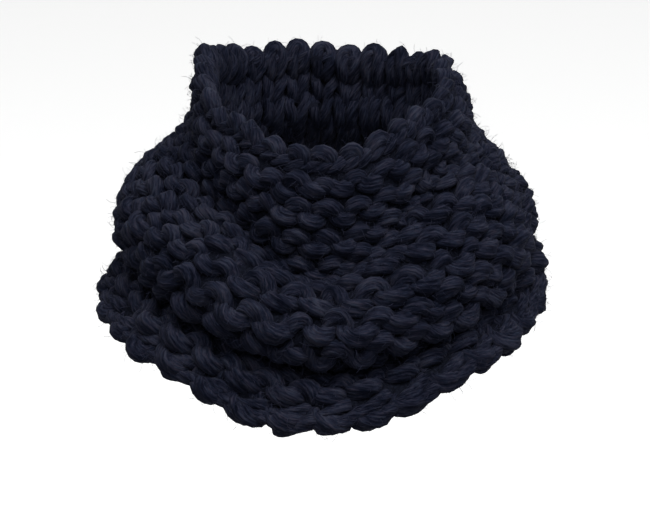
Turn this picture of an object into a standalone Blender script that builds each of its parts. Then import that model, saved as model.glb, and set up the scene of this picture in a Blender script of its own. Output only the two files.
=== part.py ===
"""Chunky knitted neck warmer as it hangs when worn: an open tube of cloth in three tiers.

Lengths in the tables are millimetres; the model is in metres. +Z is up and the front faces -Y.
The neck's axis is the Z axis. Angles run from the front (0) by the right of the picture (+X).
"""

import math

import bpy
import numpy as np

MM = 0.001

# Rings of the cloth's middle surface, from the top edge to the hem.
# Columns: front, front right, right, back right, back, back left, left, front left.
REACH = {  # distance from the neck's axis
    "rim":           (78, 74, 69, 80, 86, 79, 67, 73),
    "collar_middle": (86, 82, 78, 86, 91, 84, 68, 78),
    "valley":        (88, 84, 80, 85, 90, 84, 72, 78),
    "shelf":         (102, 99, 96, 99, 104, 98, 92, 97),
    "brow":          (114, 111, 109, 110, 113, 110, 109, 111),
    "roll_front":    (118, 115, 115, 115, 117, 115, 115, 116),
    "roll_bottom":   (111, 110, 111, 111, 111, 110, 109, 109),
    "tuck_top":      (99, 98, 99, 99, 99, 98, 98, 97),
    "tuck_inner":    (91, 90, 91, 91, 91, 90, 90, 89),
    "tuck_low":      (99, 98, 99, 99, 99, 98, 98, 97),
    "skirt_top":     (110, 109, 110, 110, 109, 109, 110, 109),
    "skirt":         (118, 118, 118, 118, 116, 119, 121, 119),
    "hem":           (121, 121, 120, 121, 119, 122, 124, 123),
}
HEIGHT = {
    "rim":           (62, 84, 105, 112, 117, 116, 110, 80),
    "collar_middle": (34, 68, 90, 96, 99, 98, 94, 63),
    "valley":        (0, 50, 76, 79, 79, 79, 76, 38),
    "shelf":         (-9, 33, 57, 61, 63, 61, 58, 27),
    "brow":          (-21, 12, 40, 45, 46, 44, 40, 12),
    "roll_front":    (-31, -5, 30, 30, 29, 29, 27, 1),
    "roll_bottom":   (-38, -20, 20, 15, 11, 10, 10, -12),
    "tuck_top":      (-38, -20, 20, 15, 10, 9, 9, -13),
    "tuck_inner":    (-45.5, -27.5, 12.5, 7.5, 2.5, 1.5, 1.5, -20.5),
    "tuck_low":      (-53, -35, 5, 0, -5, -6, -6, -28),
    "skirt_top":     (-55, -35, 6, 0, -8, -8, -4, -29),
    "skirt":         (-61, -37, 2, -6, -17, -14, -6, -33),
    "hem":           (-71, -43, -9, -18, -30, -25, -15, -44),
}
# The hem hangs lower a little to the left of the front.
DROOP = {"tuck_low": -1.0, "skirt_top": -2.5, "skirt": -4.0, "hem": -5.5}
DROOP_AT, DROOP_WIDTH = math.radians(-20), math.radians(15)
# Slight unevenness of hand knitting. Columns: waves around, start of the wave, mm in reach, mm in height.
UNEVEN = ((3, 0.6, 0.9, 0.6), (5, 2.4, 0.8, 0.7), (8, 4.1, 0.6, 0.4))
SHIFT_PER_RING, SHIFT_UP = 0.35, 1.7  # how the waves in reach turn from ring to ring, and those in height start

HALF_WALL = 4.5  # half the thickness of the knitted cloth
CORD = 5.2  # radius of the cord along the top edge
LINK = 5.0  # least radius of the chain along the hem
LINK_RISE = 2.4  # how far each link stands above that
LINKS = 34
GAP = 0.3  # between neighbouring solids
STEPS_AROUND = 96
COLLAR_STEPS, ROLL_STEPS, SKIRT_STEPS = 6, 11, 10  # sections of each wall down the cloth
CORD_SIDES = 8
SIDES_PER_LINK = 8
BELOW_VALLEY = 9.0  # from the valley down to the seam of collar and roll
SEAM_SHARE = 0.8  # of the gap, on each side of a seam, because the walls meet at a slant
FLANK, RISE = 0.65, 0.35  # how the chain's girth changes from the side of a link to its top


def around(table, angle):
    """Rows of a table at these angles, by a closed smooth curve through its eight columns."""
    rows = np.array(list(table.values()), float)
    step = 2 * math.pi / 8
    place = np.mod(angle, 2 * math.pi) / step
    k = np.floor(place).astype(int)
    u = place - k
    p0, p1, p2, p3 = (rows[:, (k + i) % 8] for i in (-1, 0, 1, 2))
    return p1 + 0.5 * u * (
        p2 - p0 + u * (2 * p0 - 5 * p1 + 4 * p2 - p3 + u * (3 * (p1 - p2) + p3 - p0))
    )


def stations():
    """Length of cloth from the top edge to each ring, averaged over the eight columns."""
    reach = np.array(list(REACH.values()), float)
    height = np.array(list(HEIGHT.values()), float)
    steps = np.hypot(np.diff(reach, axis=0), np.diff(height, axis=0)).mean(axis=1)
    return np.concatenate([[0.0], np.cumsum(steps)])


def spline_rows(t):
    """Second derivatives of the natural cubic spline through stations t, as a matrix on its points."""
    n, h = len(t), np.diff(t)
    left, right = np.eye(n), np.zeros((n, n))
    for i in range(1, n - 1):
        left[i, i - 1 : i + 2] = h[i - 1], 2 * (h[i - 1] + h[i]), h[i]
        right[i, i - 1 : i + 2] = 6 / h[i - 1], -6 / h[i - 1] - 6 / h[i], 6 / h[i]
    return np.linalg.solve(left, right)


ANGLES = np.arange(STEPS_AROUND) * 2 * math.pi / STEPS_AROUND
STATIONS = dict(zip(REACH, stations()))
BEND = spline_rows(stations())


def ring_points(angle):
    reach, height = around(REACH, angle), around(HEIGHT, angle)
    off = (angle - DROOP_AT + math.pi) % (2 * math.pi) - math.pi
    droop = np.array([DROOP.get(name, 0.0) for name in REACH])
    height = height + droop[:, None] * np.exp(-((off / DROOP_WIDTH) ** 2))
    ring = np.arange(len(REACH))[:, None]
    for waves, start, out, up in UNEVEN:
        reach = reach + out * np.sin(waves * angle + start + SHIFT_PER_RING * ring)
        height = height + up * np.sin(waves * angle + SHIFT_UP * start)
    return np.stack([reach * np.sin(angle), -reach * np.cos(angle), height], axis=-1)


def cloth(angle, along):
    """Points of the cloth's middle for equal arrays of angle and length along, and the outward normals there."""
    t = np.array(list(STATIONS.values()))
    along = np.clip(along, t[0], t[-1])

    def spline(angle):
        points = ring_points(angle)
        bend = np.einsum("ij,jnk->ink", BEND, points)
        n = np.arange(len(angle))
        k = np.clip(np.searchsorted(t, along, side="right") - 1, 0, len(t) - 2)
        h = (t[k + 1] - t[k])[:, None]
        a = (t[k + 1] - along)[:, None] / h
        b = 1 - a
        p0, p1, m0, m1 = points[k, n], points[k + 1, n], bend[k, n], bend[k + 1, n]
        place = a * p0 + b * p1 + ((a**3 - a) * m0 + (b**3 - b) * m1) * h**2 / 6
        slope = (p1 - p0) / h + ((1 - 3 * a**2) * m0 + (3 * b**2 - 1) * m1) * h / 6
        return place, slope

    place, down = spline(angle)
    turn = spline(angle + 1e-3)[0] - spline(angle - 1e-3)[0]
    normal = np.cross(down, turn)
    return place, normal / np.linalg.norm(normal, axis=1, keepdims=True)


def add_tube(name, sections):
    """A closed body from sections around the neck: an array of turns x points of the section x 3, in mm."""
    turns, size = sections.shape[:2]
    faces = []
    for i in range(turns):
        j = (i + 1) % turns
        for k in range(size):
            m = (k + 1) % size
            faces.append((i * size + k, i * size + m, j * size + m, j * size + k))
    mesh = bpy.data.meshes.new(name)
    mesh.from_pydata((sections.reshape(-1, 3) * MM).tolist(), [], faces)
    mesh.update()
    body = bpy.data.objects.new(name, mesh)
    bpy.context.scene.collection.objects.link(body)
    volume = 0.0
    for face in mesh.polygons:
        p = [np.array(mesh.vertices[v].co) for v in face.vertices]
        volume += np.dot(p[0], np.cross(p[1], p[2])) + np.dot(p[0], np.cross(p[2], p[3]))
    if volume < 0:
        mesh.flip_normals()
    return body


def away_from(angles, along, distance):
    """The length along at this true distance from a ring, square to it, further down where distance is above 0."""
    here = np.full(len(angles), along)
    ring = cloth(angles, here)[0]
    tangent = cloth(angles + 1e-3, here)[0] - ring
    tangent /= np.linalg.norm(tangent, axis=1, keepdims=True)
    reached = here + distance
    for _ in range(4):
        off = cloth(angles, reached)[0] - ring
        off -= (off * tangent).sum(axis=1, keepdims=True) * tangent
        reached = here + (reached - here) * abs(distance) / np.linalg.norm(off, axis=1)
    return reached


def add_wall(name, start, end, steps):
    """The cloth between two lengths along at each angle, HALF_WALL to each side of its middle."""
    share = np.linspace(0, 1, steps + 1)
    outline = [(s, 1.0) for s in share] + [(s, -1.0) for s in share[::-1]]
    sections = np.empty((STEPS_AROUND, len(outline), 3))
    for k, (s, side) in enumerate(outline):
        place, normal = cloth(ANGLES, start + s * (end - start))
        sections[:, k] = place + side * HALF_WALL * normal
    return add_tube(name, sections)


def add_cord(name, along, turns, around_section, radius):
    """A cord that follows one ring of the cloth; radius is a function of the angle and of the place on its section."""
    angles = np.arange(turns) * 2 * math.pi / turns
    place, normal = cloth(angles, np.full(turns, along))
    tangent = np.roll(place, -1, axis=0) - np.roll(place, 1, axis=0)
    tangent /= np.linalg.norm(tangent, axis=1, keepdims=True)
    side = np.cross(normal, tangent)
    sections = np.empty((turns, around_section, 3))
    for k in range(around_section):
        phi = 2 * math.pi * k / around_section
        r = radius(angles, phi)[:, None]
        sections[:, k] = place + r * (math.cos(phi) * normal + math.sin(phi) * side)
    return add_tube(name, sections)


def plain_cord(angle, phi):
    return np.full_like(angle, CORD)


def link_chain(angle, phi):
    """Slanting links: each stands out across the outer face, further on as it rises, and lies flat to the cloth."""
    across, up = math.cos(phi), math.sin(phi)
    outer = FLANK + RISE * across if up < 0 else (0.5 + 0.5 * across) * across**2
    return LINK + LINK_RISE * outer * (0.5 + 0.5 * np.cos(LINKS * angle - phi)) ** 0.8


def clear_scene():
    for old in list(bpy.data.objects):
        bpy.data.objects.remove(old)


def main():
    clear_scene()
    valley = STATIONS["valley"] + BELOW_VALLEY
    fold = (STATIONS["roll_bottom"] + STATIONS["tuck_top"]) / 2
    hem = STATIONS["hem"]
    half_gap = SEAM_SHARE * GAP
    top = away_from(ANGLES, 0.0, CORD + GAP)
    low = away_from(ANGLES, hem, -(LINK + 2 * GAP))
    seams = [away_from(ANGLES, v, d) for v in (valley, fold) for d in (-half_gap, half_gap)]
    add_wall("collar_stand", top, seams[0], COLLAR_STEPS)
    add_wall("middle_roll", seams[1], seams[2], ROLL_STEPS)
    add_wall("hem_skirt", seams[3], low, SKIRT_STEPS)
    add_cord("cast_on_edge", 0.0, STEPS_AROUND, CORD_SIDES, plain_cord)
    add_cord("bind_off_chain", hem, LINKS * SIDES_PER_LINK, CORD_SIDES, link_chain)


main()
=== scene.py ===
"""Looks of the chunky navy neck warmer: every stitch as yarn, on the form that the solids give.

Lengths in the tables are millimetres, as in the part's source; everything built is in metres.
Angles run from the front (0) by the right of the picture (+X). The front faces -Y.
"""

import math

import bpy
import numpy as np
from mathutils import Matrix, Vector


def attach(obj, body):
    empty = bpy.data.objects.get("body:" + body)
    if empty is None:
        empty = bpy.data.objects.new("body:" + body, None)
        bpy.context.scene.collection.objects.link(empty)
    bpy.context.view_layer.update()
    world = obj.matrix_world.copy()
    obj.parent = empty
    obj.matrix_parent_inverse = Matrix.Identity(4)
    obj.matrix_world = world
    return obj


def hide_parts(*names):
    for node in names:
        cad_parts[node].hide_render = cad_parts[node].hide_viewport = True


MM = 0.001
SEED = 11

# Rings of the cloth's middle surface, from the top edge to the hem.
# Columns: front, front right, right, back right, back, back left, left, front left.
REACH = {  # distance from the neck's axis
    "rim":           (78, 74, 69, 80, 86, 79, 67, 73),
    "collar_middle": (86, 82, 78, 86, 91, 84, 68, 78),
    "valley":        (88, 84, 80, 85, 90, 84, 72, 78),
    "shelf":         (102, 99, 96, 99, 104, 98, 92, 97),
    "brow":          (114, 111, 109, 110, 113, 110, 109, 111),
    "roll_front":    (118, 115, 115, 115, 117, 115, 115, 116),
    "roll_bottom":   (111, 110, 111, 111, 111, 110, 109, 109),
    "tuck_top":      (99, 98, 99, 99, 99, 98, 98, 97),
    "tuck_inner":    (91, 90, 91, 91, 91, 90, 90, 89),
    "tuck_low":      (99, 98, 99, 99, 99, 98, 98, 97),
    "skirt_top":     (110, 109, 110, 110, 109, 109, 110, 109),
    "skirt":         (118, 118, 118, 118, 116, 119, 121, 119),
    "hem":           (121, 121, 120, 121, 119, 122, 124, 123),
}
HEIGHT = {
    "rim":           (62, 84, 105, 112, 117, 116, 110, 80),
    "collar_middle": (34, 68, 90, 96, 99, 98, 94, 63),
    "valley":        (0, 50, 76, 79, 79, 79, 76, 38),
    "shelf":         (-9, 33, 57, 61, 63, 61, 58, 27),
    "brow":          (-21, 12, 40, 45, 46, 44, 40, 12),
    "roll_front":    (-31, -5, 30, 30, 29, 29, 27, 1),
    "roll_bottom":   (-38, -20, 20, 15, 11, 10, 10, -12),
    "tuck_top":      (-38, -20, 20, 15, 10, 9, 9, -13),
    "tuck_inner":    (-45.5, -27.5, 12.5, 7.5, 2.5, 1.5, 1.5, -20.5),
    "tuck_low":      (-53, -35, 5, 0, -5, -6, -6, -28),
    "skirt_top":     (-55, -35, 6, 0, -8, -8, -4, -29),
    "skirt":         (-61, -37, 2, -6, -17, -14, -6, -33),
    "hem":           (-71, -43, -9, -18, -30, -25, -15, -44),
}
# The hem hangs lower a little to the left of the front.
DROOP = {"tuck_low": -1.0, "skirt_top": -2.5, "skirt": -4.0, "hem": -5.5}
DROOP_AT, DROOP_WIDTH = math.radians(-20), math.radians(15)
# Slight unevenness of hand knitting. Columns: waves around, start of the wave, mm in reach, mm in height.
UNEVEN = ((3, 0.6, 0.9, 0.6), (5, 2.4, 0.8, 0.7), (8, 4.1, 0.6, 0.4))
SHIFT_PER_RING = 0.35  # how the waves in reach turn from ring to ring, radians
SHIFT_UP = 1.7  # where the waves in height start, in the starts of those in reach

# Creases pressed into the cloth where the collar sinks behind the roll, and one low ridge on the shelf.
# Columns: ring, middle and half length in degrees, half width and depth in mm, below 0 for a ridge.
CREASES = (
    ("valley", -42, 46, 6.5, 4.4),
    ("valley", 62, 30, 8.0, 3.0),
    ("valley", 33, 10, 6.5, 3.2),
    ("roll_front", -58, 16, 7.0, 2.2),
    ("roll_front", 28, 14, 8.0, 2.0),
    ("shelf", -20, 15, 7.0, -2.0),
)

# The knitting: purl side out, worked in rounds from the collar to the hem.
STITCHES = 34  # in a round
ROUNDS = 13
RIM_ROOM, HEM_ROOM = 0.5, 3.0  # cloth taken by the cast-on and the bind-off, mm
YARN_RADIUS = 5.0  # mm
LOOP_SWAY = 0.16  # how far a loop's legs lean together, in stitches
HEAD_NARROWER = 0.035  # how much narrower a loop's head is than the bend below it, in stitches
LOOP_HEIGHT = 0.75  # half a loop's height, in rounds
LOOP_DEPTH = 3.4  # how far purl bumps stand out of the cloth's middle, mm
LEGS_INSIDE = 2.5  # above 2, a loop's legs stay longer on the inner side
SWIRL = 0.10  # how far the wales lean round from collar to hem, radians
POINTS_A_STITCH = 28
START = 0.5 * STITCHES + 0.2  # yarns close at the back, where a leg passes inside
USUAL_STITCH = 20.0  # mm wide, at which the yarn has its full girth
LEAST_GIRTH, MOST_GIRTH = 0.90, 1.10  # of yarn that narrow stitches squeeze and wide ones let out
LEGS_THINNER = 0.12  # share of its girth that the yarn loses where it passes between two bumps
# How much a stitch differs from the next, as the spread of a normal distribution.
LEAN_SPREAD, HEIGHT_SPREAD, GIRTH_SPREAD = 0.24, 0.10, 0.08  # shares of the usual value
PLACE_SPREAD, BEND_SPREAD = 0.05, 0.07  # in stitches around, and in rounds up and down
DEPTH_SPREAD = 0.6  # mm

# The pieces that the rounds are grouped in, and the first round of each.
TIERS = {"knit_collar": 0, "knit_shelf": 4, "knit_roll": 7, "knit_skirt": 10}

# Small steps to either side, for the slopes of the cloth.
TURN_STEP, CREASE_TURN_STEP = 1e-3, 2e-3  # radians
CREASE_DOWN_STEP = 0.5  # mm
PAST_EDGE = 0.1  # how far shares of the cloth's length are known beyond its edges
SHARE_STEPS = 241

# Patterns of the wool, as the number of their marks in one radius of the yarn, 5 mm, for the first three,
# and in one metre for the rest. Single fibres of wool are 0.03 mm thick, and drawn coarser, to show.
STREAKS = 3.6  # bundles of fibre 1.4 mm wide, as a soft ply has
HEATHER = 7.0  # locks of a warmer or a cooler dye, 0.7 mm wide
HAIRS = 14.0  # fibres 0.36 mm wide, the coarser drawing of single ones
STRETCH = 58.0  # pattern units in a metre along the yarn: streaks are 3.4 times as long as they are wide
PATCHES = 45.0  # 22 mm, about one stitch: lighter and darker lengths of yarn
NAP = 900.0  # 1.1 mm, tufts of matted wool
TINTS = 300.0  # 3.3 mm, about one loose fibre's length
STREAK_SHARE = 0.48  # of the streaks in the yarn's shade
SOFT_SHARE = 0.26  # of the patches in it, and as much of the hairs
STREAK_RELIEF, NAP_RELIEF = 1.2, 0.6  # mm
RELIEF_STRENGTH = 0.7
# Colours along a pattern's value. Columns: value, sRGB.
# The yarn's shades follow the streaks that also raise its relief, so they hold painted highlight on the
# crests and painted shade in the grooves.
YARN_SHADES = ((0.40, "#060a17"), (0.51, "#1e212f"), (0.62, "#333541"))
HEATHER_CASTS = ((0.35, "#e8f6ff"), (0.65, "#fff0f4"))  # multiply the yarn's shade: cooler, warmer
# Painted shade: the backing's colours are kept dark, as the gaps between the loops are in shade.
PAINTED_GAP_SHADES = ((0.3, "#0b0c13"), (0.75, "#1c1f2b"))
LOOSE_SHADES = ((0.35, "#10121c"), (0.65, "#33364c"))

# The camera stands where the photograph's did.
CAMERA_DISTANCE = 1.15  # metres
CAMERA_ELEVATION = math.radians(7)
LENS, SENSOR = 109.8, 36.0  # mm

# The paper sweep: metres.
FLOOR_HEIGHT = -0.5
FLOOR_HALF_WIDTH, FLOOR_FRONT, FLOOR_BACK = 4.0, -3.0, 1.6
SWEEP_RADIUS, SWEEP_TOP, SWEEP_STEPS = 0.9, 4.0, 12
PAPER_GLOW = 0.5  # keeps the paper as white as the photograph's ground
# Lights. Columns: place and size in metres, watts. Each faces the object.
LIGHTS = {
    "key": ((0.45, -0.9, 1.45), 0.5, 10.2),
    "fill": ((1.2, -1.1, 1.0), 1.4, 3.4),
    "top": ((0.0, -0.4, 1.8), 1.2, 3.6),
    "front": ((0.0, -1.3, 0.62), 0.4, 2.8),
}
# The room's light rises from one height of the view to the other; the camera sees it evenly white.
ROOM_FROM, ROOM_TO = -0.1, 0.8
ROOM_LOW, ROOM_HIGH, ROOM_SEEN = 0.04, 0.95, 1.15


def around(table, angle):
    """Rows of a table at these angles, by a closed smooth curve through its eight columns."""
    rows = np.array(list(table.values()), float)
    place = np.mod(angle, 2 * math.pi) * 8 / (2 * math.pi)
    k = np.floor(place).astype(int)
    u = place - k
    p0, p1, p2, p3 = (rows[:, (k + i) % 8] for i in (-1, 0, 1, 2))
    return p1 + 0.5 * u * (
        p2 - p0 + u * (2 * p0 - 5 * p1 + 4 * p2 - p3 + u * (3 * (p1 - p2) + p3 - p0))
    )


def stations():
    """Length of cloth from the top edge to each ring, averaged over the eight columns."""
    reach = np.array(list(REACH.values()), float)
    height = np.array(list(HEIGHT.values()), float)
    steps = np.hypot(np.diff(reach, axis=0), np.diff(height, axis=0)).mean(axis=1)
    return np.concatenate([[0.0], np.cumsum(steps)])


def spline_rows(t):
    """Second derivatives of the natural cubic spline through stations t, as a matrix on its points."""
    n, h = len(t), np.diff(t)
    left, right = np.eye(n), np.zeros((n, n))
    for i in range(1, n - 1):
        left[i, i - 1 : i + 2] = h[i - 1], 2 * (h[i - 1] + h[i]), h[i]
        right[i, i - 1 : i + 2] = 6 / h[i - 1], -6 / h[i - 1] - 6 / h[i], 6 / h[i]
    return np.linalg.solve(left, right)


RING_NAMES = list(REACH)
STATIONS = stations()
BEND = spline_rows(STATIONS)


def ring_points(angle):
    """Points of every ring at these angles, mm."""
    reach, height = around(REACH, angle), around(HEIGHT, angle)
    off = (angle - DROOP_AT + math.pi) % (2 * math.pi) - math.pi
    droop = np.array([DROOP.get(name, 0.0) for name in REACH])
    height = height + droop[:, None] * np.exp(-((off / DROOP_WIDTH) ** 2))
    ring = np.arange(len(REACH))[:, None]
    for waves, start, out, up in UNEVEN:
        reach = reach + out * np.sin(waves * angle + start + SHIFT_PER_RING * ring)
        height = height + up * np.sin(waves * angle + SHIFT_UP * start)
    return np.stack([reach * np.sin(angle), -reach * np.cos(angle), height], axis=-1)


def spline_at(angle, along):
    """Points and slopes of the cloth's middle in mm; past an edge it goes straight on."""
    t = STATIONS
    inside = np.clip(along, t[0], t[-1])
    points = ring_points(angle)
    bend = np.einsum("ij,jnk->ink", BEND, points)
    n = np.arange(len(angle))
    k = np.clip(np.searchsorted(t, inside, side="right") - 1, 0, len(t) - 2)
    h = (t[k + 1] - t[k])[:, None]
    a = (t[k + 1] - inside)[:, None] / h
    b = 1 - a
    p0, p1, m0, m1 = points[k, n], points[k + 1, n], bend[k, n], bend[k + 1, n]
    place = a * p0 + b * p1 + ((a**3 - a) * m0 + (b**3 - b) * m1) * h**2 / 6
    slope = (p1 - p0) / h + ((1 - 3 * a**2) * m0 + (3 * b**2 - 1) * m1) * h / 6
    return place + slope * (along - inside)[:, None], slope


def smooth_cloth(angle, along):
    """Points and outward normals of the form that the tables give, mm."""
    place, down = spline_at(angle, along)
    turn = spline_at(angle + TURN_STEP, along)[0] - spline_at(angle - TURN_STEP, along)[0]
    normal = np.cross(down, turn)
    return place, normal / np.linalg.norm(normal, axis=1, keepdims=True)


def creased(angle, along):
    """Points of the cloth's middle with its creases pressed in, and the normals before that, mm."""
    place, normal = smooth_cloth(angle, along)
    depth = np.zeros(len(angle))
    for ring, middle, reach, width, press in CREASES:
        off = (angle - math.radians(middle) + math.pi) % (2 * math.pi) - math.pi
        across = (along - STATIONS[RING_NAMES.index(ring)]) / width
        depth += press * np.exp(-((off / math.radians(reach)) ** 4) - across**2)
    return place - depth[:, None] * normal, normal


def cloth(angle, along):
    """Points of the cloth's middle and the outward normals there, mm."""
    place = creased(angle, along)[0]
    down = creased(angle, along + CREASE_DOWN_STEP)[0] - creased(angle, along - CREASE_DOWN_STEP)[0]
    turn = creased(angle + CREASE_TURN_STEP, along)[0] - creased(angle - CREASE_TURN_STEP, along)[0]
    normal = np.cross(down, turn)
    return place, normal / np.linalg.norm(normal, axis=1, keepdims=True)


def length_table(angles=180, steps=240):
    """Real length of cloth from the top edge, for a grid of angles and of lengths along."""
    angle = np.arange(angles + 1) * 2 * math.pi / angles
    along = np.linspace(0, STATIONS[-1], steps)
    rows = np.stack([spline_at(angle, np.full(len(angle), v))[0] for v in along])
    run = np.linalg.norm(np.diff(rows, axis=0), axis=2)
    return angle, along, np.concatenate([np.zeros((1, len(angle))), np.cumsum(run, axis=0)])


TABLE_ANGLE, TABLE_ALONG, TABLE_LENGTH = length_table()


def along_at(angle, share):
    """The length along at this share of the cloth's real length, so that rounds keep an even depth."""
    shares = np.linspace(-PAST_EDGE, 1 + PAST_EDGE, SHARE_STEPS)
    grid = np.empty((len(shares), len(TABLE_ANGLE)))
    for j in range(len(TABLE_ANGLE)):
        lengths = TABLE_LENGTH[:, j] / TABLE_LENGTH[-1, j]
        grid[:, j] = np.interp(shares, lengths, TABLE_ALONG)
        beyond = np.minimum(shares, 0) + np.maximum(shares - 1, 0)
        grid[:, j] += beyond * STATIONS[-1]
    u = np.mod(angle, 2 * math.pi) / (2 * math.pi) * (len(TABLE_ANGLE) - 1)
    v = (np.clip(share, shares[0], shares[-1]) + PAST_EDGE) / (1 + 2 * PAST_EDGE) * (len(shares) - 1)
    i = np.minimum(v.astype(int), len(shares) - 2)
    j = np.minimum(u.astype(int), len(TABLE_ANGLE) - 2)
    a, b = v - i, u - j
    return (
        grid[i, j] * (1 - a) * (1 - b)
        + grid[i + 1, j] * a * (1 - b)
        + grid[i, j + 1] * (1 - a) * b
        + grid[i + 1, j + 1] * a * b
    )


def uneven(rng, spread, place):
    """A random value for each stitch, blended smoothly from stitch to stitch."""
    values = rng.normal(0, spread, STITCHES)
    k = np.floor(place).astype(int)
    u = place - k
    u = u * u * (3 - 2 * u)
    return values[k % STITCHES] * (1 - u) + values[(k + 1) % STITCHES] * u


def lay(angle, along, out):
    """World points in metres, out mm from the cloth's middle, and the cloth's outward normals there."""
    place, normal = cloth(angle, along)
    return (place + out[:, None] * normal) * MM, normal


def stitch_places(points_each):
    """Places round the garment, counted in stitches, from a start at the back."""
    return START + np.arange(STITCHES * points_each) / points_each


def round_path(number, rng):
    """Yarn of one round, purl side out: heads and sinkers stand out, legs pass behind.

    Returns points, girths and the cloth's normals.
    """
    place = stitch_places(POINTS_A_STITCH)
    phase = 2 * math.pi * place
    total = TABLE_LENGTH[-1].mean()
    depth = (total - RIM_ROOM - HEM_ROOM) / ROUNDS
    sway = LOOP_SWAY * (1 + uneven(rng, LEAN_SPREAD, place + 0.25))
    around_share = place + sway * np.sin(2 * phase) - HEAD_NARROWER * np.sin(phase)
    around_share = around_share + uneven(rng, PLACE_SPREAD, place + 0.5)
    height = LOOP_HEIGHT * (1 + uneven(rng, HEIGHT_SPREAD, place)) * -np.cos(phase)
    height = height + uneven(rng, BEND_SPREAD, place + 0.5)
    height = height + uneven(rng, BEND_SPREAD, place) * np.sin(2 * phase)
    share = (RIM_ROOM + (number + 0.5 + height) * depth) / total
    angle = 2 * math.pi * around_share / STITCHES + SWIRL * share
    out = LOOP_DEPTH * (2 * np.abs(np.cos(phase)) ** LEGS_INSIDE - 1)
    out = out + uneven(rng, DEPTH_SPREAD, place) + uneven(rng, DEPTH_SPREAD, place + 0.5)
    along = along_at(angle, share)
    points, normal = lay(angle, along, out)
    reach = np.hypot(points[:, 0], points[:, 1]) / MM
    width = 2 * math.pi * reach / STITCHES
    girth = np.clip((width / USUAL_STITCH) ** 0.5, LEAST_GIRTH, MOST_GIRTH)
    girth = girth * (1 + uneven(rng, GIRTH_SPREAD, place)) * (1 - LEGS_THINNER * np.sin(phase) ** 2)
    return points, girth, normal


# The bind-off chain along the hem: each link lies slanting over the next one's start.
LINK_OVERLAP = 0.54  # how far a link's strand reaches past its own stitch at each end, in stitches
LINK_SLANT = 4.2  # half of what a strand rises to the right on its way, mm
LINK_DEPTH = 3.6  # half the depth from the strands in front to those behind, mm
LINK_SHINGLE = math.radians(50)  # how far a strand's low end comes in front of the last one's high end
LINK_LEAN = math.radians(20)  # how far the chain's face turns down
CHAIN_ABOVE_HEM = 3.0  # mm
CHAIN_GIRTH = 0.75  # of the usual yarn, because the bind-off is pulled tight
EDGE_GIRTH_SPREAD = 0.05  # on the bind-off and on the cast-on
CHAIN_RISE_SPREAD = 0.12  # share of the slant
CHAIN_EDGE_SPREAD, CHAIN_DEPTH_SPREAD = 0.5, 0.4  # mm
LINK_POINTS = 28  # in a link
EDGE_STEP = 2.0  # mm up the cloth, for the direction there


def edge_frame(angle, along):
    """Middle of the cloth's edge, its outward normal and the direction up the cloth at these angles."""
    place, normal = cloth(angle, along)
    place_above = cloth(angle, along - EDGE_STEP)[0]
    ring = cloth(angle + TURN_STEP, along)[0] - place
    ring /= np.linalg.norm(ring, axis=1, keepdims=True)
    up = place_above - place
    up -= (up * ring).sum(axis=1, keepdims=True) * ring
    return place, normal, up / np.linalg.norm(up, axis=1, keepdims=True)


def chain_path(rng):
    """Yarn of the bind-off: long strands slant across the outer face, short ones run back behind."""
    place = stitch_places(LINK_POINTS)
    phase = 2 * math.pi * place
    around_share = place - LINK_OVERLAP * np.cos(phase) + uneven(rng, PLACE_SPREAD, place)
    up = -LINK_SLANT * (1 + uneven(rng, CHAIN_RISE_SPREAD, place)) * np.cos(phase)
    up = up + uneven(rng, CHAIN_EDGE_SPREAD, place)
    out = LINK_DEPTH * np.sin(phase + LINK_SHINGLE) + uneven(rng, CHAIN_DEPTH_SPREAD, place)
    angle = 2 * math.pi * around_share / STITCHES + SWIRL
    middle, normal, rise = edge_frame(angle, np.full(len(angle), STATIONS[-1] - CHAIN_ABOVE_HEM))
    c, s = math.cos(LINK_LEAN), math.sin(LINK_LEAN)
    face = c * normal - s * rise
    side = s * normal + c * rise
    points = (middle + up[:, None] * side + out[:, None] * face) * MM
    return points, CHAIN_GIRTH + uneven(rng, EDGE_GIRTH_SPREAD, place), face


CAST_ON_POINTS = 12  # in a stitch
CAST_ON_RADIUS = 2.2  # of the helix that the cast-on makes along the top edge, mm
CAST_ON_RADIUS_SPREAD = 0.08  # share of that
CAST_ON_BELOW_RIM = 2.0  # mm
CAST_ON_GIRTH = 0.64  # of the usual yarn, because two strands share the edge


def cast_on_path(rng, start):
    """Yarn of one of the cast-on's two strands, which wind round the top edge once a stitch."""
    place = stitch_places(CAST_ON_POINTS)
    phase = 2 * math.pi * place + start
    angle = 2 * math.pi * place / STITCHES
    middle, normal, rise = edge_frame(angle, np.full(len(angle), CAST_ON_BELOW_RIM))
    radius = CAST_ON_RADIUS * (1 + uneven(rng, CAST_ON_RADIUS_SPREAD, place))
    offset = np.cos(phase)[:, None] * normal + np.sin(phase)[:, None] * rise
    points = (middle + radius[:, None] * offset) * MM
    return points, CAST_ON_GIRTH * (1 + uneven(rng, EDGE_GIRTH_SPREAD, place)), normal


def colour(hex_value):
    """Linear RGBA of an sRGB hex value."""
    channels = [int(hex_value[i : i + 2], 16) / 255 for i in (1, 3, 5)]
    linear = [c / 12.92 if c <= 0.04045 else ((c + 0.055) / 1.055) ** 2.4 for c in channels]
    return (*linear, 1.0)


def set_stops(ramp, stops):
    """Gives a colour ramp these stops, in rising order: value and sRGB hex colour of each."""
    for value, _ in stops[1:-1]:
        ramp.elements.new(value)
    for element, (value, shade) in zip(ramp.elements, stops):
        element.position = value
        element.color = colour(shade)


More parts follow.
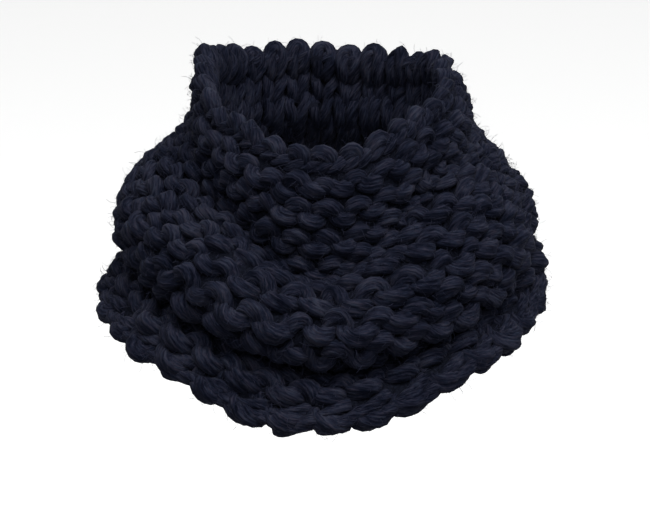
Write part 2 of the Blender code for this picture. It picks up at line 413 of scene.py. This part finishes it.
def add_node(tree, kind, settings=None, **inputs):
    """Adds a node with its properties as settings, and values or outputs for its sockets.

    A socket goes by its name, with _ for a space, or by _ and its number. A colour ramp's stops
    are a setting too.
    """
    node = tree.nodes.new(kind)
    for name, value in (settings or {}).items():
        if name == "stops":
            set_stops(node.color_ramp, value)
        else:
            setattr(node, name, value)
    for name, value in inputs.items():
        key = int(name[1:]) if name[0] == "_" else name.replace("_", " ")
        socket = node.inputs[key]
        if isinstance(value, bpy.types.NodeSocket):
            tree.links.new(value, socket)
        else:
            socket.default_value = value
    return node


def new_tree(name, sizes):
    """A Geometry Nodes group from paths to yarn, with named inputs: socket type and usual value of each."""
    tree = bpy.data.node_groups.new(name, "GeometryNodeTree")
    face = tree.interface
    face.new_socket("Paths", in_out="INPUT", socket_type="NodeSocketGeometry")
    for size, (kind, value) in sizes.items():
        face.new_socket(size, in_out="INPUT", socket_type=kind).default_value = value
    face.new_socket("Material", in_out="INPUT", socket_type="NodeSocketMaterial")
    face.new_socket("Yarn", in_out="OUTPUT", socket_type="NodeSocketGeometry")
    return tree, tree.nodes.new("NodeGroupInput").outputs, tree.nodes.new("NodeGroupOutput")


def yarn_tree():
    """Sweeps a plied yarn along every closed path of a mesh of edges."""
    sizes = {
        "Yarn Radius": ("NodeSocketFloat", YARN_RADIUS * MM),
        "Plies": ("NodeSocketInt", 4),
        "Sides Per Ply": ("NodeSocketInt", 5),
        "Ply Depth": ("NodeSocketFloat", 0.12),  # in yarn radii
        "Turns Per Metre": ("NodeSocketFloat", 18.0),  # one turn of the plies in 56 mm
    }
    tree, given, result = new_tree("Plied yarn along a path", sizes)
    curve = add_node(tree, "GeometryNodeMeshToCurve", _0=given["Paths"])
    normals = add_node(tree, "GeometryNodeSetCurveNormal", {"mode": "MINIMUM_TWIST"}, _0=curve.outputs[0])
    girth = add_node(tree, "GeometryNodeInputNamedAttribute", {"data_type": "FLOAT"}, _0="girth")
    thick = add_node(
        tree, "ShaderNodeMath", {"operation": "MULTIPLY"}, _0=girth.outputs[0], _1=given["Yarn Radius"]
    )
    length = add_node(tree, "GeometryNodeSplineLength")
    turns = add_node(
        tree, "ShaderNodeMath", {"operation": "MULTIPLY"}, _0=length.outputs[0], _1=given["Turns Per Metre"]
    )
    whole = add_node(tree, "ShaderNodeMath", {"operation": "ROUND"}, _0=turns.outputs[0])
    spline = add_node(tree, "GeometryNodeSplineParameter")
    share = add_node(
        tree, "ShaderNodeMath", {"operation": "MULTIPLY"}, _0=whole.outputs[0], _1=spline.outputs["Factor"]
    )
    tilt = add_node(
        tree, "ShaderNodeMath", {"operation": "MULTIPLY"}, _0=share.outputs[0], _1=2 * math.pi
    )
    tilted = add_node(tree, "GeometryNodeSetCurveTilt", _0=normals.outputs[0], Tilt=tilt.outputs[0])
    measured = add_node(
        tree,
        "GeometryNodeStoreNamedAttribute",
        {"data_type": "FLOAT", "domain": "POINT"},
        _0=tilted.outputs[0],
        Name="along",
        Value=spline.outputs["Length"],
    )

    sides = add_node(
        tree, "ShaderNodeMath", {"operation": "MULTIPLY"}, _0=given["Plies"], _1=given["Sides Per Ply"]
    )
    circle = add_node(tree, "GeometryNodeCurvePrimitiveCircle", _0=sides.outputs[0], Radius=1.0)
    index = add_node(tree, "GeometryNodeInputIndex")
    part = add_node(
        tree, "ShaderNodeMath", {"operation": "DIVIDE"}, _0=index.outputs[0], _1=given["Sides Per Ply"]
    )
    wave = add_node(tree, "ShaderNodeMath", {"operation": "MULTIPLY"}, _0=part.outputs[0], _1=2 * math.pi)
    lobe = add_node(tree, "ShaderNodeMath", {"operation": "COSINE"}, _0=wave.outputs[0])
    depth = add_node(
        tree,
        "ShaderNodeMath",
        {"operation": "MULTIPLY_ADD"},
        _0=lobe.outputs[0],
        _1=given["Ply Depth"],
        _2=1.0,
    )
    place = add_node(tree, "GeometryNodeInputPosition")
    pushed = add_node(
        tree, "ShaderNodeVectorMath", {"operation": "SCALE"}, _0=place.outputs[0], Scale=depth.outputs[0]
    )
    lobed = add_node(tree, "GeometryNodeSetPosition", _0=circle.outputs[0], Position=pushed.outputs[0])
    marked = add_node(
        tree,
        "GeometryNodeStoreNamedAttribute",
        {"data_type": "FLOAT_VECTOR", "domain": "POINT"},
        _0=lobed.outputs[0],
        Name="across",
        Value=place.outputs[0],
    )
    tube = add_node(
        tree,
        "GeometryNodeCurveToMesh",
        _0=measured.outputs[0],
        _1=marked.outputs[0],
        Scale=thick.outputs[0],
    )
    smooth = add_node(tree, "GeometryNodeSetShadeSmooth", _0=tube.outputs[0])
    real = add_node(tree, "GeometryNodeRealizeInstances", _0=smooth.outputs[0])
    dressed = add_node(
        tree, "GeometryNodeSetMaterial", _0=real.outputs[0], Material=given["Material"]
    )
    tree.links.new(dressed.outputs[0], result.inputs[0])
    return tree


CORE_SIDES = 8  # of the plain tube that the fibres stand on
FIBRE_SIDES = 3
FIBRE_LEAN = 0.7  # most that a fibre leans from square to the yarn, each way, radians
# A fibre of length 1 starts under the yarn's surface and bends over to one side.
FIBRE_BEND = {"Start": (0, 0, -0.05), "Middle": (0.15, 0, 0.5), "End": (0.75, 0.1, 0.62)}


def fibre_tree():
    """Loose fibres off the outer side of the yarns: short, thin, bent and closed at both ends."""
    sizes = {
        "Yarn Radius": ("NodeSocketFloat", YARN_RADIUS * MM),
        "Fibres Per Square Metre": ("NodeSocketFloat", 34000.0),
        "Shortest": ("NodeSocketFloat", 3.0 * MM),
        "Longest": ("NodeSocketFloat", 7.0 * MM),
        "Fineness": ("NodeSocketFloat", 0.014),  # a fibre's radius, in its length: drawn coarser, to show
        "Seed": ("NodeSocketInt", SEED),
    }
    tree, given, result = new_tree("Loose fibres off a yarn", sizes)
    curve = add_node(tree, "GeometryNodeMeshToCurve", _0=given["Paths"])
    normals = add_node(tree, "GeometryNodeSetCurveNormal", {"mode": "MINIMUM_TWIST"}, _0=curve.outputs[0])
    girth = add_node(tree, "GeometryNodeInputNamedAttribute", {"data_type": "FLOAT"}, _0="girth")
    thick = add_node(
        tree, "ShaderNodeMath", {"operation": "MULTIPLY"}, _0=girth.outputs[0], _1=given["Yarn Radius"]
    )
    circle = add_node(tree, "GeometryNodeCurvePrimitiveCircle", _0=CORE_SIDES, Radius=1.0)
    core = add_node(
        tree,
        "GeometryNodeCurveToMesh",
        _0=normals.outputs[0],
        _1=circle.outputs[0],
        Scale=thick.outputs[0],
    )
    facing = add_node(
        tree, "GeometryNodeInputNamedAttribute", {"data_type": "FLOAT_VECTOR"}, _0="facing"
    )
    normal = add_node(tree, "GeometryNodeInputNormal")
    outward = add_node(
        tree,
        "ShaderNodeVectorMath",
        {"operation": "DOT_PRODUCT"},
        _0=facing.outputs[0],
        _1=normal.outputs[0],
    )
    outer = add_node(
        tree, "FunctionNodeCompare", {"operation": "GREATER_THAN"}, _0=outward.outputs["Value"], _1=0.0
    )
    roots = add_node(
        tree,
        "GeometryNodeDistributePointsOnFaces",
        {"distribute_method": "RANDOM"},
        _0=core.outputs[0],
        Selection=outer.outputs[0],
        Density=given["Fibres Per Square Metre"],
        Seed=given["Seed"],
    )
    bend = add_node(tree, "GeometryNodeCurveQuadraticBezier", Resolution=3, **FIBRE_BEND)
    side = add_node(tree, "GeometryNodeCurvePrimitiveCircle", _0=FIBRE_SIDES, Radius=1.0)
    fibre = add_node(
        tree,
        "GeometryNodeCurveToMesh",
        _0=bend.outputs[0],
        _1=side.outputs[0],
        Scale=given["Fineness"],
        Fill_Caps=True,
    )
    spin = add_node(
        tree,
        "FunctionNodeRandomValue",
        {"data_type": "FLOAT_VECTOR"},
        _0=(-FIBRE_LEAN, -FIBRE_LEAN, -math.pi),
        _1=(FIBRE_LEAN, FIBRE_LEAN, math.pi),
        Seed=given["Seed"],
    )
    length = add_node(
        tree,
        "FunctionNodeRandomValue",
        {"data_type": "FLOAT"},
        _2=given["Shortest"],
        _3=given["Longest"],
        Seed=given["Seed"],
    )
    turned = add_node(
        tree, "FunctionNodeRotateRotation", {"rotation_space": "LOCAL"}, _0=roots.outputs["Rotation"]
    )
    tree.links.new(spin.outputs[0], turned.inputs[1])
    placed = add_node(
        tree,
        "GeometryNodeInstanceOnPoints",
        _0=roots.outputs[0],
        Instance=fibre.outputs[0],
        Rotation=turned.outputs[0],
        Scale=length.outputs[1],
    )
    real = add_node(tree, "GeometryNodeRealizeInstances", _0=placed.outputs[0])
    dressed = add_node(
        tree, "GeometryNodeSetMaterial", _0=real.outputs[0], Material=given["Material"]
    )
    tree.links.new(dressed.outputs[0], result.inputs[0])
    return tree


def grow(name, mesh, tree, **values):
    """Runs a tree on a mesh, with its inputs by name, and returns an object with a plain mesh."""
    seed = bpy.data.objects.new(name + "_paths", mesh)
    bpy.context.scene.collection.objects.link(seed)
    modifier = seed.modifiers.new("Nodes", "NODES")
    modifier.node_group = tree
    for socket in tree.interface.items_tree:
        key = socket.name.replace(" ", "_")
        if socket.in_out == "INPUT" and key in values:
            modifier[socket.identifier] = values[key]
    graph = bpy.context.evaluated_depsgraph_get()
    grown = bpy.data.meshes.new_from_object(seed.evaluated_get(graph), depsgraph=graph)
    bpy.data.objects.remove(seed)
    piece = bpy.data.objects.new(name, grown)
    grown.name = name
    bpy.context.scene.collection.objects.link(piece)
    return piece


def paths_mesh(name, paths):
    """A mesh of closed runs of edges, with a girth and the cloth's facing at each point."""
    points, edges, girths, facings = [], [], [], []
    for path, girth, facing in paths:
        first = sum(len(p) for p in points)
        n = len(path)
        points.append(path)
        girths.append(girth)
        facings.append(facing)
        edges += [(first + i, first + (i + 1) % n) for i in range(n)]
    mesh = bpy.data.meshes.new(name)
    mesh.from_pydata(np.concatenate(points).tolist(), edges, [])
    layer = mesh.attributes.new("girth", "FLOAT", "POINT")
    layer.data.foreach_set("value", np.concatenate(girths).astype(np.float32))
    layer = mesh.attributes.new("facing", "FLOAT_VECTOR", "POINT")
    layer.data.foreach_set("vector", np.concatenate(facings).astype(np.float32).ravel())
    return mesh


def new_material(name, **finish):
    """A material with these values set directly on its shader's sockets, its tree and its shader."""
    material = bpy.data.materials.new(name)
    material.use_nodes = True
    shader = material.node_tree.nodes["Principled BSDF"]
    for socket, value in finish.items():
        shader.inputs[socket.replace("_", " ")].default_value = value
    return material, material.node_tree, shader


def plied_wool():
    """Loosely spun and plied navy wool, dyed in the fibre.

    It is matt, with a faint sheen where fibres catch the light at the edges, and it is mottled: bundles of
    fibre run along each ply, some warmer and some cooler, and whole stitches are lighter or darker. The
    bundles' colour also carries painted highlight
    and painted shade: lighter on their raised crests, darker in the grooves between them.
    """
    material, tree, shader = new_material(
        "Plied navy wool yarn",
        Roughness=0.92,
        IOR=1.45,
        Specular_IOR_Level=0.08,
        Sheen_Weight=0.03,
        Sheen_Roughness=0.5,
        Sheen_Tint=colour("#8f92ad"),
    )
    along = add_node(tree, "ShaderNodeAttribute", {"attribute_name": "along"})
    across = add_node(tree, "ShaderNodeAttribute", {"attribute_name": "across"})
    apart = add_node(tree, "ShaderNodeSeparateXYZ", _0=across.outputs["Vector"])
    run = add_node(
        tree, "ShaderNodeMath", {"operation": "MULTIPLY"}, _0=along.outputs["Fac"], _1=STRETCH
    )
    fibre = add_node(
        tree,
        "ShaderNodeCombineXYZ",
        _0=apart.outputs[0],
        _1=apart.outputs[1],
        _2=run.outputs[0],
    )
    streaks = add_node(
        tree,
        "ShaderNodeTexNoise",
        Vector=fibre.outputs[0],
        Scale=STREAKS,
        Detail=1.5,
        Roughness=0.55,
    )
    place = add_node(tree, "ShaderNodeTexCoord")
    patches = add_node(
        tree, "ShaderNodeTexNoise", Vector=place.outputs["Object"], Scale=PATCHES, Detail=2.0
    )
    hairs = add_node(
        tree, "ShaderNodeTexNoise", Vector=fibre.outputs[0], Scale=HAIRS, Detail=2.0, Roughness=0.6
    )
    soft = add_node(
        tree, "ShaderNodeMath", {"operation": "ADD"}, _0=patches.outputs["Fac"], _1=hairs.outputs["Fac"]
    )
    share = add_node(
        tree, "ShaderNodeMath", {"operation": "MULTIPLY"}, _0=soft.outputs[0], _1=SOFT_SHARE
    )
    mixed = add_node(
        tree,
        "ShaderNodeMath",
        {"operation": "MULTIPLY_ADD"},
        _0=streaks.outputs["Fac"],
        _1=STREAK_SHARE,
        _2=share.outputs[0],
    )
    # Painted highlight and shade: the streaks that raise the relief below also lighten its crests and
    # darken its grooves.
    shade = add_node(tree, "ShaderNodeValToRGB", {"stops": YARN_SHADES}, _0=mixed.outputs[0])
    heather = add_node(
        tree, "ShaderNodeTexNoise", Vector=fibre.outputs[0], Scale=HEATHER, Detail=1.0
    )
    cast = add_node(tree, "ShaderNodeValToRGB", {"stops": HEATHER_CASTS}, _0=heather.outputs["Fac"])
    tinted = add_node(
        tree,
        "ShaderNodeMix",
        {"data_type": "RGBA", "blend_type": "MULTIPLY"},
        _0=1.0,
        _6=shade.outputs["Color"],
        _7=cast.outputs["Color"],
    )
    tree.links.new(tinted.outputs[2], shader.inputs["Base Color"])
    bump = add_node(
        tree,
        "ShaderNodeBump",
        Strength=RELIEF_STRENGTH,
        Distance=STREAK_RELIEF * MM,
        Height=streaks.outputs["Fac"],
    )
    tree.links.new(bump.outputs["Normal"], shader.inputs["Normal"])
    return material


def shadowed_wool():
    """The same wool where it shows only between the stitches, its colour painted dark as the shade in those
    gaps.

    It is darker and quite without gloss, with a short uneven nap, so that gaps look deep.
    """
    material, tree, shader = new_material(
        "Matted navy wool between stitches", Roughness=0.97, Specular_IOR_Level=0.03
    )
    place = add_node(tree, "ShaderNodeTexCoord")
    nap = add_node(
        tree, "ShaderNodeTexNoise", Vector=place.outputs["Object"], Scale=NAP, Detail=3.0
    )
    # Painted shade: the nap varies the colour only within a dark range that stands for the shade in the
    # gaps.
    shade = add_node(tree, "ShaderNodeValToRGB", {"stops": PAINTED_GAP_SHADES}, _0=nap.outputs["Fac"])
    tree.links.new(shade.outputs["Color"], shader.inputs["Base Color"])
    bump = add_node(
        tree,
        "ShaderNodeBump",
        Strength=RELIEF_STRENGTH,
        Distance=NAP_RELIEF * MM,
        Height=nap.outputs["Fac"],
    )
    tree.links.new(bump.outputs["Normal"], shader.inputs["Normal"])
    return material


SHELL_HALF = 0.8  # half the backing's thickness, mm
SHELL_AROUND, SHELL_DOWN = 136, 60  # faces around, and rows of points down each side
SHELL_PAST_ROUNDS = 3.0  # how far the backing reaches below the last round, mm
SHELL_ABOVE_ROUNDS = 2.0  # and above the first


def backing():
    """Thin closed shell on the cloth's middle, which stands for the cloth behind the loops; its dark colour
    is painted shade.
    """
    angle = np.arange(SHELL_AROUND) * 2 * math.pi / SHELL_AROUND
    top, bottom = RIM_ROOM - SHELL_ABOVE_ROUNDS, STATIONS[-1] - HEM_ROOM + SHELL_PAST_ROUNDS
    along = np.linspace(top, bottom, SHELL_DOWN)
    rows = []
    for side, order in ((1, along), (-1, along[::-1])):
        out = np.full(SHELL_AROUND, side * SHELL_HALF)
        for v in order:
            rows.append(lay(angle, np.full(SHELL_AROUND, v), out)[0])
    faces = []
    for i in range(len(rows)):
        j = (i + 1) % len(rows)
        for k in range(SHELL_AROUND):
            m = (k + 1) % SHELL_AROUND
            corners = (i, k), (j, k), (j, m), (i, m)
            faces.append(tuple(row * SHELL_AROUND + column for row, column in corners))
    mesh = bpy.data.meshes.new("cloth_backing")
    mesh.from_pydata(np.concatenate(rows).tolist(), [], faces)
    mesh.materials.append(shadowed_wool())
    mesh.shade_smooth()
    piece = bpy.data.objects.new("cloth_backing", mesh)
    bpy.context.scene.collection.objects.link(piece)
    return piece


def loose_fibre():
    """Single wool fibres that stand off the yarn and blur its outline.

    They are a little glossier than the yarn, as one fibre is, and their navy varies from place to place.
    """
    material, tree, shader = new_material(
        "Loose navy wool fibre", Roughness=0.8, Specular_IOR_Level=0.2
    )
    place = add_node(tree, "ShaderNodeTexCoord")
    tint = add_node(
        tree, "ShaderNodeTexNoise", Vector=place.outputs["Object"], Scale=TINTS, Detail=1.0
    )
    shade = add_node(tree, "ShaderNodeValToRGB", {"stops": LOOSE_SHADES}, _0=tint.outputs["Fac"])
    tree.links.new(shade.outputs["Color"], shader.inputs["Base Color"])
    return material


def knit(wool, fibre):
    """All yarn: the rounds in four pieces, the cast-on, the bind-off chain, and loose fibres on them."""
    tree = yarn_tree()
    fuzz = fibre_tree()
    rng = np.random.RandomState(SEED)
    rounds = [round_path(number, rng) for number in range(ROUNDS)]
    ends = [*list(TIERS.values())[1:], ROUNDS]
    pieces = []
    for (name, first), end in zip(TIERS.items(), ends):
        pieces.append(grow(name, paths_mesh(name, rounds[first:end]), tree, Material=wool))
    top_edge = [cast_on_path(rng, 0.0), cast_on_path(rng, math.pi)]
    hem_edge = [chain_path(rng)]
    cast_on = grow("knit_cast_on", paths_mesh("cast_on", top_edge), tree, Material=wool)
    chain = grow("knit_bind_off", paths_mesh("bind_off", hem_edge), tree, Material=wool)
    half = TIERS["knit_roll"]
    upper = paths_mesh("upper", top_edge + rounds[:half])
    lower = paths_mesh("lower", rounds[half:] + hem_edge)
    pieces.append(grow("fibres_upper", upper, fuzz, Material=fibre))
    pieces.append(grow("fibres_lower", lower, fuzz, Material=fibre, Seed=SEED + 1))
    return pieces, cast_on, chain


def studio():
    """Pale floor that sweeps up behind, soft lights, and the camera where the photograph was taken."""
    paper = new_material(
        "Matt white paper sweep",
        Base_Color=colour("#f2f2f0"),
        Roughness=0.9,
        Emission_Color=colour("#ffffff"),
        Emission_Strength=PAPER_GLOW,
    )[0]
    profile = [(FLOOR_FRONT, 0.0)]
    for k in range(SWEEP_STEPS + 1):
        turn = math.radians(90 / SWEEP_STEPS * k)
        back, up = SWEEP_RADIUS * math.sin(turn), SWEEP_RADIUS * (1 - math.cos(turn))
        profile.append((FLOOR_BACK + back, up))
    profile.append((FLOOR_BACK + SWEEP_RADIUS, SWEEP_TOP))
    sides = (-FLOOR_HALF_WIDTH, FLOOR_HALF_WIDTH)
    points = [(x, y, FLOOR_HEIGHT + z) for x in sides for y, z in profile]
    n = len(profile)
    mesh = bpy.data.meshes.new("floor")
    mesh.from_pydata(points, [], [(i, i + n, i + n + 1, i + 1) for i in range(n - 1)])
    mesh.materials.append(paper)
    mesh.shade_smooth()
    floor = bpy.data.objects.new("floor", mesh)
    bpy.context.scene.collection.objects.link(floor)
    floor.visible_diffuse = False  # so that the paper throws no light up under the hem

    for name, (place, size, watts) in LIGHTS.items():
        lamp = bpy.data.lights.new(name, "AREA")
        lamp.size = size
        lamp.energy = watts
        light = bpy.data.objects.new(name, lamp)
        light.location = place
        light.rotation_euler = (-Vector(place)).to_track_quat("-Z", "Y").to_euler()
        bpy.context.scene.collection.objects.link(light)
    world = bpy.data.worlds.new("Pale room")
    world.use_nodes = True
    tree = world.node_tree
    background = tree.nodes["Background"]
    background.inputs["Color"].default_value = colour("#f4f5f7")
    way = add_node(tree, "ShaderNodeTexCoord").outputs["Generated"]
    height = add_node(tree, "ShaderNodeSeparateXYZ", _0=way).outputs[2]
    lit = add_node(
        tree, "ShaderNodeMapRange", _0=height, _1=ROOM_FROM, _2=ROOM_TO, _3=ROOM_LOW, _4=ROOM_HIGH
    )
    seen = add_node(tree, "ShaderNodeLightPath").outputs["Is Camera Ray"]
    strength = add_node(
        tree, "ShaderNodeMix", {"data_type": "FLOAT"}, _0=seen, _2=lit.outputs[0], _3=ROOM_SEEN
    )
    tree.links.new(strength.outputs[0], background.inputs["Strength"])
    bpy.context.scene.world = world

    camera = bpy.data.objects.new("camera", bpy.data.cameras.new("camera"))
    camera.data.lens = LENS
    camera.data.sensor_width = SENSOR
    back, up = math.cos(CAMERA_ELEVATION), math.sin(CAMERA_ELEVATION)
    camera.location = (0.0, -CAMERA_DISTANCE * back, CAMERA_DISTANCE * up)
    camera.rotation_euler = (math.pi / 2 - CAMERA_ELEVATION, 0, 0)
    bpy.context.scene.collection.objects.link(camera)
    bpy.context.scene.camera = camera
    bpy.context.scene.view_settings.view_transform = "Standard"


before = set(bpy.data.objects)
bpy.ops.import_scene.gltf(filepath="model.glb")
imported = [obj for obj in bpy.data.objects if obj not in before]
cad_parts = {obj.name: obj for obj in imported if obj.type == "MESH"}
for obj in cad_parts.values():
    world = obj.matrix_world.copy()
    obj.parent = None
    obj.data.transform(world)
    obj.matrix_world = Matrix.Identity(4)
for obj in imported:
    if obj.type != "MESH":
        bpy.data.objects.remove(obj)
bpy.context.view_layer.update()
wool = plied_wool()
shell = backing()
rounds, cast_on, chain = knit(wool, loose_fibre())
for piece in (shell, *rounds, cast_on, chain):
    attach(piece, "root")
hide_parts("collar_stand", "middle_roll", "hem_skirt")
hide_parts("cast_on_edge")
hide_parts("bind_off_chain")
studio()
